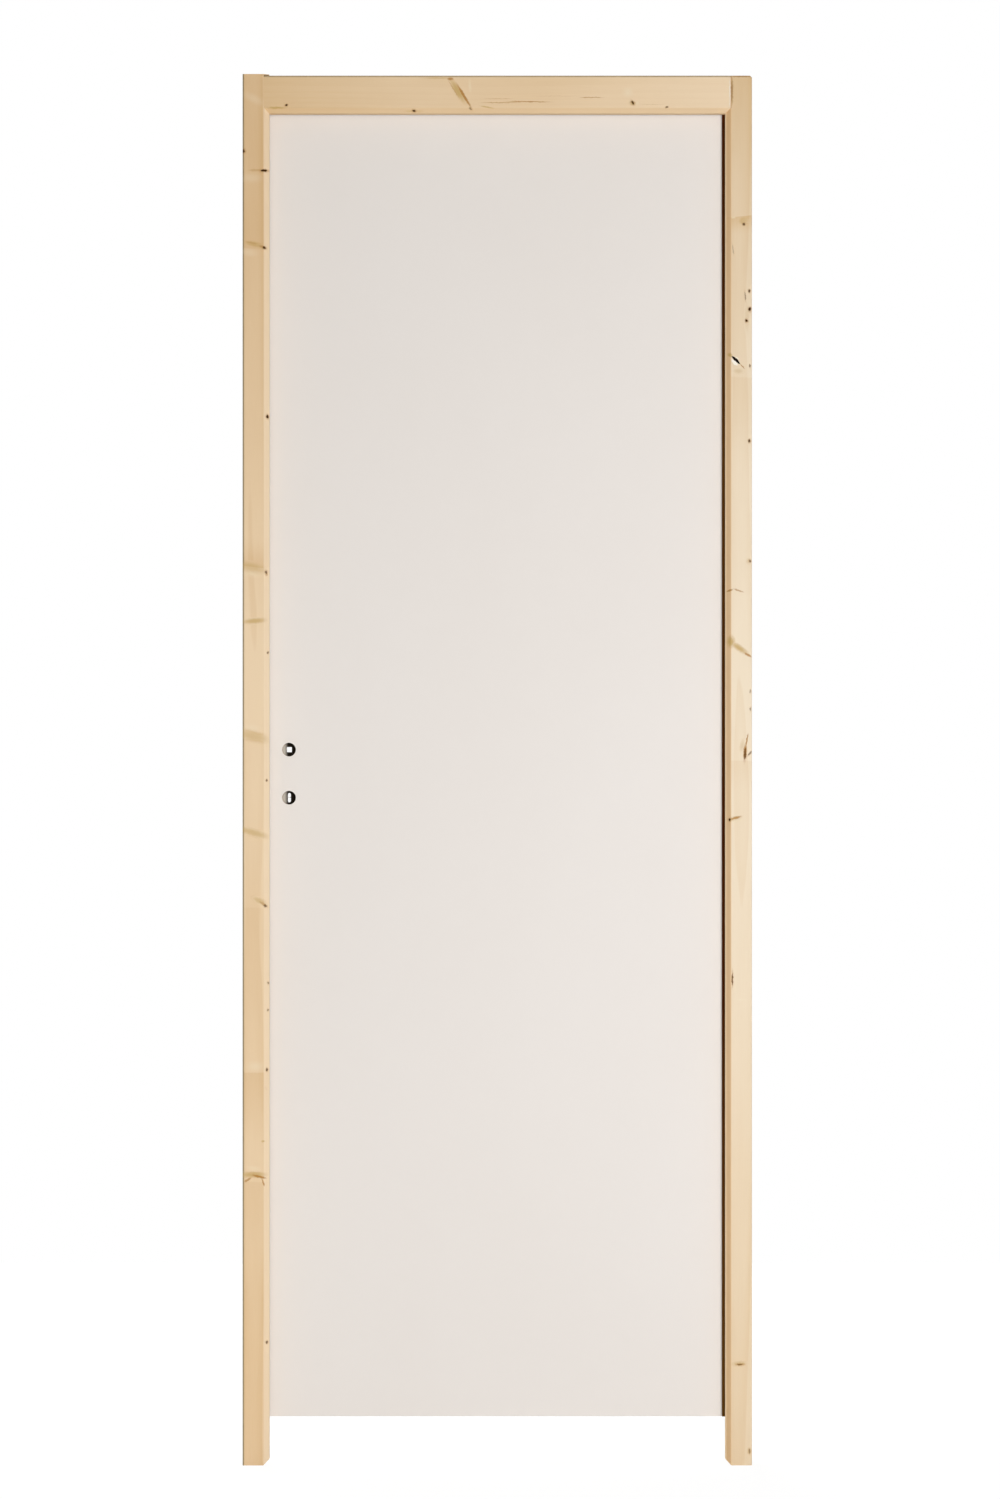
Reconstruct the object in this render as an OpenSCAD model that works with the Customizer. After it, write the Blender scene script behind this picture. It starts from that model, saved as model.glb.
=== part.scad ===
// Prehung interior door: a flush painted leaf on three lift-off hinges in a rebated softwood frame.
// X runs along the wall, Y through it away from the stop side, Z up from the jambs' feet.
// The origin lies on the hinge jamb's wall face, at the floor, halfway through the frame.

/* [Leaf] */
// Width of the leaf
leaf_w = 730; // [600:1:950]
// Height of the leaf
leaf_h = 2040; // [1700:1:2450]
// Thickness of the leaf
leaf_t = 40; // [36:0.5:48]
// Height of the leaf's lower edge over the jambs' feet
leaf_ground = 73; // [40:1:120]
// Thickness of each facing board
facing_t = 3.2; // [2.5:0.1:5]
// Width of the stiles and rails inside the leaf
stile_w = 28; // [22:0.5:34]
// Width of the block that backs the lock
block_w = 90; // [70:1:120]
// Height of the block that backs the lock
block_h = 320; // [270:1:400]

/* [Frame] */
// Width of a jamb on the stop side
jamb_w = 41; // [34:0.5:60]
// Height of the head on the stop side
head_h = 58; // [45:0.5:80]
// Depth of the frame through the wall
frame_d = 72; // [70:0.5:120]
// How far the stops lap over the leaf
stop_lap = 10; // [6:0.5:13]
// Width of the chamfer along the stops
chamfer = 8; // [5:0.5:12]
// Size of the corner cut off at the foot of each stop
foot_cut = 9; // [5:0.5:14]
// How far the lock jamb's top stands over the head
lock_jamb_rise = 2.5; // [0.5:0.5:8]
// How far the hinge jamb's face is set back from the head's
jamb_setback = 1; // [0.2:0.1:2]
// Size of the eased corner on top of the hinge jamb
top_ease = 3; // [1:0.5:6]
// Width of the eased arrises along the jambs and the head
arris = 1.2; // [0.5:0.1:2]
// Width of the eased edges where the head meets the hinge jamb
joint_ease = 1.6; // [0.5:0.1:2.5]
// Length of the tenons that join the head to the jambs
tenon_l = 16; // [10:0.5:20]
// Thickness of the tenons
tenon_t = 16; // [10:0.5:22]
// Wood left over and under each tenon
tenon_shoulder = 8; // [5:0.5:12]

/* [Gaps] */
// Gap between the leaf and the hinge jamb
hinge_gap = 5; // [3:0.1:7]
// Gap between the leaf and the lock jamb
lock_gap = 6.5; // [4:0.1:8]
// Gap between the leaf and the head
top_gap = 5; // [3:0.1:8]
// Gap between the leaf and the stops, which the seals take up
seal_gap = 5; // [3.5:0.1:7]
// Clearance between the seals and the closed leaf
seal_clear = 1; // [0.5:0.1:1.5]
// Width of a seal behind its stop
seal_w = 8; // [6:0.5:10]
// How far the hinge side's seal shows past its stop
seal_reach = 4.5; // [2:0.5:8]
// How far the other seals stay back from the stops' edges
seal_setback = 1; // [0.5:0.1:2]
// Width of the kerfs that hold the seals' tongues
kerf_w = 3; // [2:0.1:4]
// Depth of the kerfs
kerf_d = 5; // [3:0.5:7]

/* [Hinges] */
// Height of a hinge
hinge_h = 110; // [80:1:140]
// Depth of a hinge's flap into the leaf's edge
flap_w = 30; // [22:0.5:33]
// Thickness of the flaps
flap_t = 2.5; // [1.8:0.1:3.2]
// Radius of the flaps' inner corners
flap_r = 8; // [4:0.5:12]
// Outer radius of the knuckles
knuckle_r = 6.5; // [5.6:0.1:8]
// Gap between the knuckles and the door's face
knuckle_gap = 0.5; // [0.4:0.1:1]
// Radius of the hinge pins
pin_r = 4; // [3:0.1:4.7]
// Radial clearance of a pin in the leaf's knuckle
pin_clear = 0.05; // [0.02:0.01:0.1]
// Depth of the pin's tip below the top of its hinge
pin_short = 3; // [1:0.5:8]
// Chamfer on the knuckles' outer ends and on the pins' tips
knuckle_ease = 0.8; // [0.3:0.1:1.2]
// Thickness of the ring between the knuckles
ring_t = 2; // [1:0.1:4]
// Running gap over the ring
ring_gap = 0.3; // [0.2:0.05:0.5]
// Number of screws in a flap
screw_count = 4; // [3:1:5]
// Distance from a flap's ends to its end screws
screw_end = 13; // [9:0.5:18]
// Distance from a flap's inner edge to its inner row of screws
inner_row = 8; // [6:0.5:10]
// Distance from the door's face to a flap's outer row of screws
outer_row = 9; // [7:0.5:12]
// Radius of the screws' holes
screw_r = 2.2; // [1.5:0.1:2.5]
// Radius of the countersinks at the plates' faces
sink_r = 4; // [3:0.1:4.2]
// Distance from the leaf's top to the top hinge's middle
hinge_top_drop = 230; // [150:1:330]
// Distance from the leaf's bottom to the bottom hinge's middle
hinge_bottom_rise = 250; // [150:1:350]

/* [Lock] */
// Height of the handle's axis over the leaf's lower edge
spindle_h = 1040; // [850:1:1250]
// Distance from the handle's axis down to the key's axis
key_drop = 75; // [60:1:95]
// Distance from the leaf's edge to both axes
backset = 40; // [38:0.5:55]
// Radius of the holes drilled through the leaf
hole_r = 10.5; // [9.4:0.1:13]
// Radius of the follower's hub
hub_r = 7; // [6.2:0.1:7.4]
// How far the hub stands out of the follower's disc on each side
hub_rise = 0.6; // [0.3:0.1:1.5]
// Side of the follower's square socket
socket_w = 8; // [6:0.1:8.5]
// Radius of the follower
follower_r = 9; // [7.5:0.1:9.3]
// Radial clearance of the follower in the case
follower_clear = 0.05; // [0.02:0.01:0.1]
// Width of the key slot
slot_w = 5; // [4.2:0.1:7]
// Height of the key slot
slot_h = 14.6; // [11:0.1:18]
// Thickness of the lock case
case_t = 14; // [11:0.5:17]
// Depth of the lock case from the leaf's edge
case_depth = 64; // [58:0.5:80]
// Height of the case over the handle's axis
case_above = 42; // [34:1:55]
// Height of the case below the key's axis
case_below = 43; // [30:1:55]
// Width of the fore-end
fore_w = 20; // [18:0.5:25]
// Thickness of the fore-end
fore_t = 3; // [2:0.1:4]
// How far the fore-end runs past each end of the case
fore_over = 18; // [12:1:25]
// Distance from the fore-end's and the strike's ends to their screws
end_screw = 9; // [7:0.5:11]
// Thickness of the latch and the bolt
bolt_t = 11; // [8:0.5:12]
// Height of the latch
latch_h = 20; // [15:0.5:26]
// Height of the dead bolt
bolt_h = 26; // [18:0.5:30]
// Length of the latch and of the bolt, drawn back into the case
bolt_l = 24; // [18:0.5:27]
// Distance from the handle's axis down to the dead bolt's middle
bolt_drop = 46; // [38:0.5:54]
// Play round the lock's pieces
play = 0.2; // [0.1:0.05:0.4]

/* [Strike] */
// Width of the strike plate
strike_w = 22; // [20:0.5:28]
// Thickness of the strike plate
strike_t = 2.5; // [1.5:0.1:4]
// Room round the latch and the bolt in the strike's holes
strike_room = 2; // [1:0.1:2.5]
// Height of the strike's lip, which the latch rides over
lip_h = 40; // [28:1:60]
// Depth of the pockets behind the strike's holes
pocket_d = 14; // [10:0.5:18]

/* [Hidden] */

// Overshoot of a cut past the face that it opens
over = 1;
// Fineness of the round faces
$fn = 64;

// Places across the wall, from the hinge jamb's wall face
opening_w = leaf_w - 2 * stop_lap;
frame_w = opening_w + 2 * jamb_w;
leaf_hinge_x = stop_lap - jamb_w;
leaf_lock_x = leaf_hinge_x - leaf_w;
hinge_rebate = stop_lap + hinge_gap;
lock_rebate = stop_lap + lock_gap;
hinge_rebate_x = hinge_rebate - jamb_w;
lock_rebate_x = leaf_lock_x - lock_gap;
shoulder_w = jamb_w - chamfer;

// Places through the wall, from the middle of the frame
front_y = -frame_d / 2;
back_y = frame_d / 2;
leaf_front_y = back_y - leaf_t;
leaf_mid_y = back_y - leaf_t / 2;
core_front_y = leaf_front_y + facing_t;
core_t = leaf_t - 2 * facing_t;
stop_back_y = leaf_front_y - seal_gap;
seal_t = seal_gap - seal_clear;

// Heights over the jambs' feet
leaf_top_z = leaf_ground + leaf_h;
head_stop_z = leaf_top_z - stop_lap;
head_rebate_z = leaf_top_z + top_gap;
frame_h = head_stop_z + head_h;
tenon_z = head_rebate_z + tenon_shoulder;
tenon_h = frame_h - tenon_shoulder - tenon_z;
side_seal_h = head_stop_z + seal_setback - leaf_ground;
spindle_z = leaf_ground + spindle_h;
key_z = spindle_z - key_drop;
bolt_z = spindle_z - bolt_drop;

// Hinges, from the bottom one up
hinge_axis_x = leaf_hinge_x + hinge_gap / 2;
hinge_axis_y = back_y + knuckle_gap + knuckle_r;
hinge_bottom_z = leaf_ground + hinge_bottom_rise;
hinge_top_z = leaf_top_z - hinge_top_drop;
hinge_places = [
    ["bottom", hinge_bottom_z],
    ["middle", (hinge_bottom_z + hinge_top_z) / 2],
    ["top", hinge_top_z]
];

// Lock, from the leaf's lock edge
axis_x = leaf_lock_x + backset;
case_z = key_z - case_below;
case_h = spindle_z + case_above - case_z;
fore_h = case_h + 2 * fore_over;
plate_mid_z = case_z + case_h / 2;

// Draws what is made for the hinge jamb on the lock jamb
module on_lock_side() {
    translate([-frame_w, 0, 0]) mirror([1, 0, 0]) children();
}

// Stands a drawing of X and Z up and gives it the depth between two places in Y
module through_wall(from_y, to_y) {
    translate([0, to_y, 0]) rotate([90, 0, 0]) linear_extrude(to_y - from_y) children();
}

// Stands a drawing of Y and Z up and gives it the length between two places in X
module along_wall(from_x, to_x) {
    translate([from_x, 0, 0]) rotate([90, 0, 90]) linear_extrude(to_x - from_x) children();
}

// A bar with round ends, upright and centred
module slot_outline(w, h) {
    square([w, h - w], center = true);
    for (end = [-1, 1]) translate([0, end * (h - w) / 2]) circle(d = w);
}

// A jamb's section: the stop with its chamfer in front, the rebate behind it and the seal's kerf
module jamb_outline(rebate, face_y) {
    difference() {
        polygon([
            [0, face_y + arris], [-arris, face_y], [-shoulder_w, face_y], [-jamb_w, face_y + chamfer],
            [-jamb_w, stop_back_y], [rebate - jamb_w, stop_back_y], [rebate - jamb_w, back_y - arris],
            [rebate - jamb_w + arris, back_y], [-arris, back_y], [0, back_y - arris]
        ]);
        seal_tongue(over);
    }
}

// The wedge that eases the edge of the hinge jamb's shoulder, or with -1 of the head's end beside it
module joint_wedge(side, face_y) {
    translate([-shoulder_w, face_y, head_stop_z + chamfer]) linear_extrude(head_h)
        polygon([
            [0, joint_ease], [side * (joint_ease + over), -over], [-side * over, -over],
            [-side * over, joint_ease]
        ]);
}

// The tongue that holds a seal in its stop, or the kerf for it with some overshoot
module seal_tongue(extra) {
    translate([seal_w - kerf_w - jamb_w, stop_back_y - kerf_d]) square([kerf_w, kerf_d + extra]);
}

// The head's side of the scribed shoulder: square down to the chamfer and mitred across it
module head_side_outline() {
    polygon([
        [-jamb_w - over, head_stop_z - over], [-shoulder_w, head_stop_z + chamfer],
        [-shoulder_w, frame_h + over], [-jamb_w - over, frame_h + over]
    ]);
}

// The jamb's side of the same shoulder
module jamb_side_outline() {
    polygon([
        [-jamb_w - over, head_stop_z - over], [-shoulder_w, head_stop_z + chamfer],
        [-shoulder_w, frame_h + over], [over, frame_h + over], [over, head_stop_z - over]
    ]);
}

// One jamb, with its shoulder for the head, its mortise and its cut foot
module jamb(rebate, height, face_y) {
    difference() {
        linear_extrude(height) jamb_outline(rebate, face_y);
        through_wall(front_y - over, stop_back_y) head_side_outline();
        tenon(rebate);
        through_wall(front_y - over, stop_back_y + over)
            polygon([
                [-jamb_w - over, -over], [foot_cut + over - jamb_w, -over],
                [-jamb_w - over, foot_cut + over]
            ]);
    }
}

// The head's tenon in the jamb
module tenon(rebate) {
    translate([rebate - jamb_w - over, leaf_mid_y - tenon_t / 2, tenon_z])
        cube([tenon_l + over, tenon_t, tenon_h]);
}

module hinge_side_jamb() {
    color([0.90, 0.80, 0.66]) difference() {
        jamb(hinge_rebate, frame_h, front_y + jamb_setback);
        joint_wedge(1, front_y + jamb_setback);
        for (place = hinge_places) flap(place[1], hinge_rebate_x, 1, over);
        through_wall(front_y, back_y + over)
            polygon([
                [over, frame_h - top_ease - over], [over, frame_h + over], [-top_ease - over, frame_h + over]
            ]);
    }
}

module lock_side_jamb() {
    color([0.86, 0.74, 0.57]) difference() {
        on_lock_side() jamb(lock_rebate, frame_h + lock_jamb_rise, front_y);
        strike_blank(over);
        strike_holes(pocket_d);
    }
}

module head_rail() {
    color([0.86, 0.73, 0.56]) {
        difference() {
            along_wall(lock_rebate_x, hinge_rebate_x) difference() {
                polygon([
                    [front_y + arris, frame_h], [front_y, frame_h - arris],
                    [front_y, head_stop_z + chamfer], [front_y + chamfer, head_stop_z],
                    [stop_back_y, head_stop_z], [stop_back_y, head_rebate_z],
                    [back_y - arris, head_rebate_z], [back_y, head_rebate_z + arris],
                    [back_y, frame_h - arris], [back_y - arris, frame_h]
                ]);
                head_tongue(over);
            }
            joint_wedge(-1, front_y);
            through_wall(front_y - over, stop_back_y) jamb_side_outline();
            on_lock_side() through_wall(front_y - over, stop_back_y) jamb_side_outline();
        }
        tenon(hinge_rebate);
        on_lock_side() tenon(lock_rebate);
    }
}

// The head seal's tongue, or the kerf for it with some overshoot
module head_tongue(extra) {
    translate([stop_back_y - kerf_d, head_stop_z + seal_w - kerf_w]) square([kerf_d + extra, kerf_w]);
}

// A seal's section: a flat strip on the stop's back with a round lip towards the opening, and its tongue
module seal_outline(reach) {
    seal_tongue(0);
    lip_x = -jamb_w - reach + seal_t / 2;
    translate([lip_x, stop_back_y]) square([seal_w - jamb_w - lip_x, seal_t]);
    translate([lip_x, stop_back_y + seal_t / 2]) circle(d = seal_t);
}

module hinge_side_seal() {
    color([0.24, 0.15, 0.09])
        translate([0, 0, leaf_ground]) linear_extrude(side_seal_h) seal_outline(seal_reach);
}

module lock_side_seal() {
    color([0.24, 0.15, 0.09])
        translate([0, 0, leaf_ground]) linear_extrude(side_seal_h)
            on_lock_side() seal_outline(-seal_setback);
}

module head_seal() {
    color([0.24, 0.15, 0.09])
        along_wall(jamb_w - seal_w - frame_w, seal_w - jamb_w) {
            head_tongue(0);
            translate([stop_back_y, head_stop_z + seal_setback]) square([seal_t, seal_w - seal_setback]);
        }
}

// The strike plate's body with its lip, or the recess for it with some overshoot
module strike_blank(extra) {
    translate([lock_rebate_x - strike_t, leaf_mid_y, plate_mid_z]) rotate([90, 0, 90])
        linear_extrude(strike_t + extra) {
            slot_outline(strike_w, fore_h);
            translate([0, spindle_z - plate_mid_z - lip_h / 2]) square([leaf_t / 2 + extra, lip_h]);
        }
}

// The holes for the latch and the bolt, to some depth behind the plate's face
module strike_holes(depth) {
    for (hole = [[spindle_z, latch_h], [bolt_z, bolt_h]])
        translate([
            lock_rebate_x - depth, leaf_mid_y - bolt_t / 2 - strike_room,
            hole[0] - hole[1] / 2 - strike_room
        ])
            cube([depth + over, bolt_t + 2 * strike_room, hole[1] + 2 * strike_room]);
}

module strike_plate() {
    color([0.72, 0.72, 0.70]) difference() {
        strike_blank(0);
        strike_holes(strike_t + over);
        end_holes(lock_rebate_x, 1, strike_t);
    }
}

// A screw's countersunk hole, bored down from a plate's face at the level of Z = 0
module screw_hole(plate_t) {
    translate([0, 0, -plate_t - over]) cylinder(r = screw_r, h = plate_t + over);
    translate([0, 0, screw_r - sink_r])
        cylinder(r1 = screw_r, r2 = sink_r + over, h = sink_r - screw_r + over);
}

// The screw holes of a flap whose open face lies at face_x and looks to the given side
module flap_holes(face_x, side, z) {
    pitch = (hinge_h - 2 * screw_end) / (screw_count - 1);
    for (i = [0:screw_count - 1]) {
        y = i % 2 == 0 ? back_y - flap_w + inner_row : back_y - outer_row;
        translate([face_x, y, z - hinge_h / 2 + screw_end + i * pitch])
            rotate([0, side * 90, 0]) screw_hole(flap_t);
    }
}

// The screw holes at both ends of a plate on the lock's middle, in the same way
module end_holes(face_x, side, plate_t) {
    for (end = [-1, 1])
        translate([face_x, leaf_mid_y, plate_mid_z + end * (fore_h / 2 - end_screw)])
            rotate([0, side * 90, 0]) screw_hole(plate_t);
}

// One hinge flap against a face at face_x, let into it on the given side, round at its inner corners
module flap(z, face_x, side, extra) {
    depth = side * (flap_t / 2) - side * extra / 2;
    translate([face_x + depth, 0, z]) rotate([90, 0, 90])
        linear_extrude(flap_t + extra, center = true) {
            translate([back_y - flap_w, flap_r - hinge_h / 2]) square([flap_w + extra, hinge_h - 2 * flap_r]);
            translate([back_y - flap_w + flap_r, -hinge_h / 2]) square([flap_w - flap_r + extra, hinge_h]);
            for (end = [-1, 1])
                translate([back_y - flap_w + flap_r, end * (hinge_h / 2 - flap_r)]) circle(r = flap_r);
        }
}

// The web that carries a knuckle from its flap, over the knuckle's own height
module flap_web(face_x, side, z, h) {
    translate([face_x + (side - 1) * flap_t / 2, back_y - over, z])
        cube([flap_t, hinge_axis_y + over - back_y, h]);
}

// A knuckle's barrel, eased at its upper end
module knuckle(h) {
    cylinder(r = knuckle_r, h = h - knuckle_ease);
    translate([0, 0, h - knuckle_ease])
        cylinder(r1 = knuckle_r, r2 = knuckle_r - knuckle_ease, h = knuckle_ease);
}

module hinge_frame_flap(z) {
    h = (hinge_h - ring_t) / 2;
    color([0.74, 0.74, 0.72]) difference() {
        union() {
            flap(z, hinge_rebate_x, 1, 0);
            flap_web(hinge_rebate_x, 1, z - hinge_h / 2, h);
            translate([hinge_axis_x, hinge_axis_y, z + ring_t / 2]) mirror([0, 0, 1])
                translate([0, 0, ring_t]) knuckle(h);
        }
        translate([hinge_axis_x, hinge_axis_y, z - hinge_h / 2 - over]) cylinder(r = pin_r, h = h + 2 * over);
        flap_holes(hinge_rebate_x, -1, z);
    }
}

module hinge_leaf_flap(z) {
    h = (hinge_h - ring_t) / 2 - ring_gap;
    color([0.74, 0.74, 0.72]) difference() {
        union() {
            flap(z, leaf_hinge_x, -1, 0);
            flap_web(leaf_hinge_x, -1, z + hinge_h / 2 - h, h);
            translate([hinge_axis_x, hinge_axis_y, z + hinge_h / 2 - h]) knuckle(h);
        }
        translate([hinge_axis_x, hinge_axis_y, z + hinge_h / 2 - h - over])
            cylinder(r = pin_r + pin_clear, h = h + 2 * over);
        flap_holes(leaf_hinge_x, 1, z);
    }
}

module hinge_pin(z) {
    h = hinge_h - pin_short;
    color([0.70, 0.70, 0.69]) translate([hinge_axis_x, hinge_axis_y, z - hinge_h / 2]) {
        cylinder(r = pin_r, h = h - knuckle_ease);
        translate([0, 0, h - knuckle_ease])
            cylinder(r1 = pin_r, r2 = pin_r - knuckle_ease, h = knuckle_ease);
    }
}

module hinge_ring(z) {
    color([0.80, 0.66, 0.36]) translate([hinge_axis_x, hinge_axis_y, z - ring_t / 2]) difference() {
        cylinder(r = knuckle_r, h = ring_t);
        translate([0, 0, -over]) cylinder(r = pin_r + pin_clear, h = ring_t + 2 * over);
    }
}

// The two holes drilled through the leaf for the handle and the key
module leaf_holes() {
    for (z = [key_z, spindle_z])
        translate([axis_x, back_y + over, z]) rotate([90, 0, 0]) cylinder(r = hole_r, h = leaf_t + 2 * over);
}

// One facing board of the leaf
module facing(y) {
    difference() {
        translate([leaf_lock_x, y, leaf_ground]) cube([leaf_w, facing_t, leaf_h]);
        leaf_holes();
    }
}

module leaf_face_push_side() {
    color([0.90, 0.87, 0.83]) facing(leaf_front_y);
}

module leaf_face_pull_side() {
    color([0.90, 0.87, 0.83]) difference() {
        facing(back_y - facing_t);
        for (place = hinge_places) flap(place[1], leaf_hinge_x, -1, over);
    }
}

// One bar of the leaf's inner frame
module core_bar(x, z, w, h) {
    translate([x, core_front_y, z]) cube([w, core_t, h]);
}

// The mortise for the lock case
module case_mortise() {
    translate([leaf_lock_x - over, leaf_mid_y - case_t / 2 - play, case_z - play])
        cube([case_depth + over + play, case_t + 2 * play, case_h + 2 * play]);
}

module leaf_lock_stile() {
    color([0.89, 0.86, 0.81]) difference() {
        core_bar(leaf_lock_x, leaf_ground, stile_w, leaf_h);
        case_mortise();
        fore_blank(over);
    }
}

module leaf_hinge_stile() {
    color([0.89, 0.86, 0.81]) difference() {
        core_bar(leaf_hinge_x - stile_w, leaf_ground, stile_w, leaf_h);
        for (place = hinge_places) flap(place[1], leaf_hinge_x, -1, over);
    }
}

module leaf_top_rail() {
    color([0.84, 0.75, 0.60])
        core_bar(leaf_lock_x + stile_w, leaf_top_z - stile_w, leaf_w - 2 * stile_w, stile_w);
}

module leaf_bottom_rail() {
    color([0.84, 0.75, 0.60])
        core_bar(leaf_lock_x + stile_w, leaf_ground, leaf_w - 2 * stile_w, stile_w);
}

module leaf_lock_block() {
    color([0.84, 0.75, 0.60]) difference() {
        core_bar(leaf_lock_x + stile_w, plate_mid_z - block_h / 2, block_w, block_h);
        case_mortise();
        leaf_holes();
    }
}

// The fore-end's body, or the recess for it with some overshoot
module fore_blank(extra) {
    translate([leaf_lock_x - extra, leaf_mid_y, plate_mid_z]) rotate([90, 0, 90])
        linear_extrude(fore_t + extra) slot_outline(fore_w, fore_h);
}

// The room for a bolt of height h at height z, from the leaf's edge inwards
module bolt_room(z, h, l) {
    translate([leaf_lock_x - over, leaf_mid_y - bolt_t / 2 - play, z - h / 2 - play])
        cube([l + over, bolt_t + 2 * play, h + 2 * play]);
}

module lock_fore_end() {
    color([0.74, 0.74, 0.72]) difference() {
        fore_blank(0);
        bolt_room(spindle_z, latch_h, fore_t + over);
        bolt_room(bolt_z, bolt_h, fore_t + over);
        end_holes(leaf_lock_x, -1, fore_t);
    }
}

module lock_case() {
    color([0.58, 0.58, 0.57]) difference() {
        translate([leaf_lock_x + fore_t, leaf_mid_y - case_t / 2, case_z])
            cube([case_depth - fore_t, case_t, case_h]);
        bolt_room(spindle_z, latch_h, bolt_l);
        bolt_room(bolt_z, bolt_h, bolt_l);
        translate([axis_x, leaf_mid_y + case_t / 2 + over, spindle_z]) rotate([90, 0, 0])
            cylinder(r = follower_r + follower_clear, h = case_t + 2 * over);
        through_wall(leaf_mid_y - case_t / 2 - over, leaf_mid_y + case_t / 2 + over)
            translate([axis_x, key_z]) slot_outline(slot_w, slot_h);
    }
}

// The latch, drawn back flush with the fore-end, bevelled on the side that meets the strike
module latch_bolt() {
    color([0.78, 0.77, 0.72]) translate([0, 0, spindle_z - latch_h / 2]) linear_extrude(latch_h)
        polygon([
            [leaf_lock_x, leaf_mid_y + bolt_t / 2], [leaf_lock_x + bolt_l, leaf_mid_y + bolt_t / 2],
            [leaf_lock_x + bolt_l, leaf_mid_y - bolt_t / 2],
            [leaf_lock_x + bolt_t, leaf_mid_y - bolt_t / 2]
        ]);
}

module dead_bolt() {
    color([0.78, 0.77, 0.72]) translate([leaf_lock_x, leaf_mid_y - bolt_t / 2, bolt_z - bolt_h / 2])
        cube([bolt_l, bolt_t, bolt_h]);
}

// The turning piece that the handle's square bar goes through
module lock_follower() {
    color([0.66, 0.66, 0.65]) translate([axis_x, leaf_mid_y, spindle_z]) rotate([90, 0, 0]) difference() {
        union() {
            cylinder(r = follower_r, h = case_t - 2 * hub_rise, center = true);
            cylinder(r = hub_r, h = case_t, center = true);
        }
        cube([socket_w, socket_w, case_t + 2 * over], center = true);
    }
}

lock_side_jamb();
hinge_side_jamb();
head_rail();
lock_side_seal();
hinge_side_seal();
head_seal();
strike_plate();
leaf_face_push_side();
leaf_face_pull_side();
leaf_lock_stile();
leaf_hinge_stile();
leaf_top_rail();
leaf_bottom_rail();
leaf_lock_block();
lock_case();
lock_fore_end();
latch_bolt();
dead_bolt();
lock_follower();
for (place = hinge_places) {
    hinge_frame_flap(place[1]);
    hinge_leaf_flap(place[1]);
    hinge_pin(place[1]);
    hinge_ring(place[1]);
}
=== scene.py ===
# Prehung interior door: finishes, screws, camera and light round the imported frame.
import math
import random

import bmesh
import bpy
from mathutils import Matrix, Vector


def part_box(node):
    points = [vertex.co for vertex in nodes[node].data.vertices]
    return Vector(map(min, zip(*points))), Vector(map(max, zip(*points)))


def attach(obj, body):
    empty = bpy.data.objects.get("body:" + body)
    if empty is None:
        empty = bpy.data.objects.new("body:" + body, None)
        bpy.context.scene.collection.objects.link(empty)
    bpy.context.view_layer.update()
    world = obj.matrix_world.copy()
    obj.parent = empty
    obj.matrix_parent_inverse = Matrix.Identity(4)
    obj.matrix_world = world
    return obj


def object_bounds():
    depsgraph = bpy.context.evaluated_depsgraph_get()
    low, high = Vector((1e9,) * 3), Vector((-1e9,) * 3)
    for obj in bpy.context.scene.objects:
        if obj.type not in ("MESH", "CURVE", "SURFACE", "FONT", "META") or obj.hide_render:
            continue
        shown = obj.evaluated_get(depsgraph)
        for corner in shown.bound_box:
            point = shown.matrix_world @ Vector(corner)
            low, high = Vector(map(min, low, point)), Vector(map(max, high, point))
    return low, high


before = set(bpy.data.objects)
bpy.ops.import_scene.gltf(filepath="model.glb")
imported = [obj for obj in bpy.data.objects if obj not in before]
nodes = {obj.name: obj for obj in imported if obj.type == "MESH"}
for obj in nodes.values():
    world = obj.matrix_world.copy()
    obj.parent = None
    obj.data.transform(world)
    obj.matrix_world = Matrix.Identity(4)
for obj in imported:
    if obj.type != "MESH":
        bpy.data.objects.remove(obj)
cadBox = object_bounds()
print("frame loaded:", len(nodes), "nodes")


# Shader maths as plain expressions: a Wire is a socket, and each sum adds its Math node.
class Wire:
    def __init__(self, finish, socket):
        self.finish = finish
        self.socket = socket

    def math(self, operation, *others):
        values = dict(enumerate((self, *others)))
        return self.finish.node("ShaderNodeMath", {"operation": operation}, values)

    def __add__(self, other):
        return self.math("ADD", other)

    def __sub__(self, other):
        return self.math("SUBTRACT", other)

    def __mul__(self, other):
        return self.math("MULTIPLY", other)

    def __truediv__(self, other):
        return self.math("DIVIDE", other)

    def __pow__(self, other):
        return self.math("POWER", other)

    __radd__ = __add__


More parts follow.
